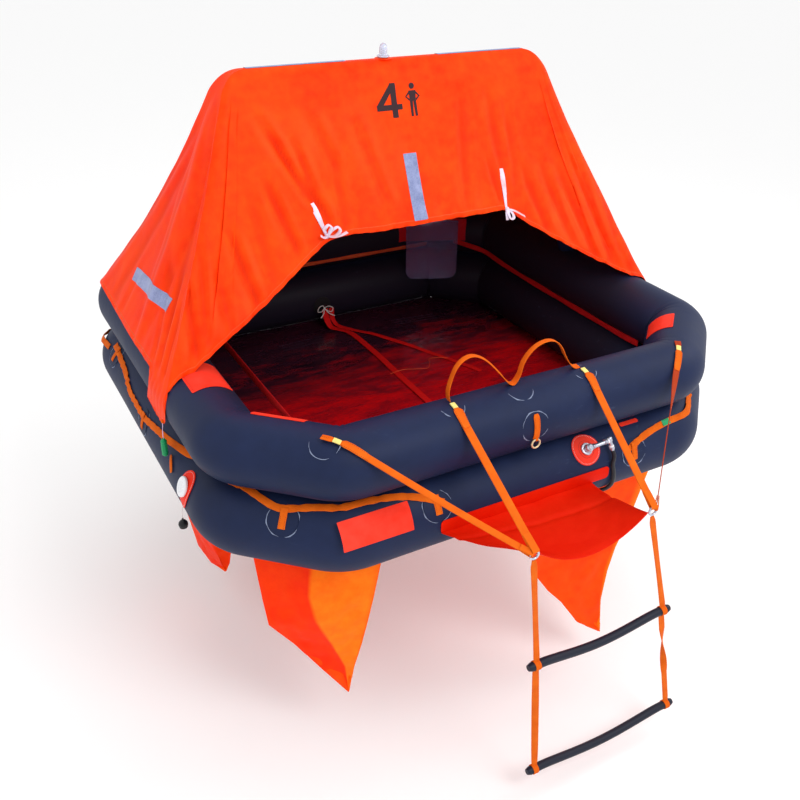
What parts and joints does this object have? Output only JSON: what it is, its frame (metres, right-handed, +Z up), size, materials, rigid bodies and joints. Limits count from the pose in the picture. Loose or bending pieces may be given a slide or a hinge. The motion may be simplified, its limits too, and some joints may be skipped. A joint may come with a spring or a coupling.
{
  "type": "inflatable life raft",
  "caption": "Inflatable life raft with two stacked navy tubes, an orange tent canopy on an arch, webbing boarding ladder, ramp, ballast pockets and grab lines.",
  "frame": {"origin": "centre of the tubes in plan, at the waterline of the empty raft afloat", "axes": "+Z up, -Y towards the boarding side with the ladder, +X to the right when facing the back from the boarding side"},
  "size_m": [1.9161, 2.1074, 2.0171],
  "materials": {
    "black": "black rubber",
    "canopy": "orange-red canopy cloth, light sheen",
    "cord": "thin white cord",
    "cylinder": "grey painted gas cylinder",
    "dark_webbing": "red woven webbing",
    "floor": "dark red coated floor fabric, glossy",
    "green": "green moulded plastic",
    "grey": "grey moulded plastic",
    "hose": "black rubber hose",
    "lamp": "clear dome",
    "patch": "coral bonded patch",
    "pocket": "orange coated cloth",
    "pouch": "clear film",
    "ramp": "red-orange coated cloth",
    "rung": "dark navy ribbed tube",
    "tube": "dark navy coated fabric, satin",
    "webbing": "orange woven webbing",
    "white": "white moulded plastic"
  },
  "bodies": {
    "raft": {"arch_tube": "tube", "ballast_pocket_front_left": "pocket", "ballast_pocket_front_right": "pocket", "ballast_pocket_rear_left": "pocket", "ballast_pocket_rear_right": "pocket", "boarding_ramp": "ramp", "boarding_sign": "patch", "boarding_strap_left": "webbing", "boarding_strap_right": "webbing", "canopy_back": "canopy", "canopy_front": "canopy", "canopy_left": "canopy", "canopy_light": "lamp", "canopy_ridge": "canopy", "canopy_right": "canopy", "canopy_tail_left": "canopy", "canopy_tail_right": "canopy", "clear_pouch": "pouch", "floor_sheet": "floor", "floor_strap_long": "dark_webbing", "floor_strap_short": "dark_webbing", "gas_cylinder": "cylinder", "gas_cylinder_strap_left": "webbing", "gas_cylinder_strap_right": "webbing", "grab_line_back": "webbing", "grab_line_left": "webbing", "grab_line_right": "webbing", "handhold_loops": "webbing", "inflation_hose": "hose", "inflation_valve_arm": "grey", "inflation_valve_hub": "grey", "inflation_valve_plate": "patch", "inner_grab_line_back": "dark_webbing", "inner_grab_line_left": "dark_webbing", "inner_grab_line_right": "dark_webbing", "light_cell": "green", "light_cell_cord": "cord", "lower_tube": "tube", "relief_valve": "white", "relief_valve_cap": "black", "relief_valve_cord": "cord", "relief_valve_plate": "patch", "righting_strap": "webbing", "ring_left": "white", "ring_right": "white", "side_strap_left": "webbing", "side_strap_right": "webbing", "tow_tab": "webbing", "upper_tube": "tube"},
    "ladder_upper": {"ladder_rung_upper": "rung", "ladder_stile_upper_left": "webbing", "ladder_stile_upper_right": "webbing"},
    "ladder_lower": {"ladder_rung_lower": "rung", "ladder_stile_lower_left": "webbing", "ladder_stile_lower_right": "webbing"},
    "tow_ring": {"tow_ring": "grey"}
  },
  "joints": [
    {"name": "ladder_swing", "type": "hinge", "parent": "raft", "child": "ladder_upper", "pos_m": [-0.025, -1.187, 0.147], "axis": [1, 0, 0], "range_deg": [-75, 12]},
    {"name": "ladder_fold", "type": "hinge", "parent": "ladder_upper", "child": "ladder_lower", "pos_m": [0.068, -1.187, -0.27], "axis": [1, 0, 0], "range_deg": [-150, 15]},
    {"name": "tow_ring_swing", "type": "hinge", "parent": "raft", "child": "tow_ring", "pos_m": [-0.022, -0.892, 0.28831], "axis": [1, 0, 0], "range_deg": [-90, 12]}
  ]
}
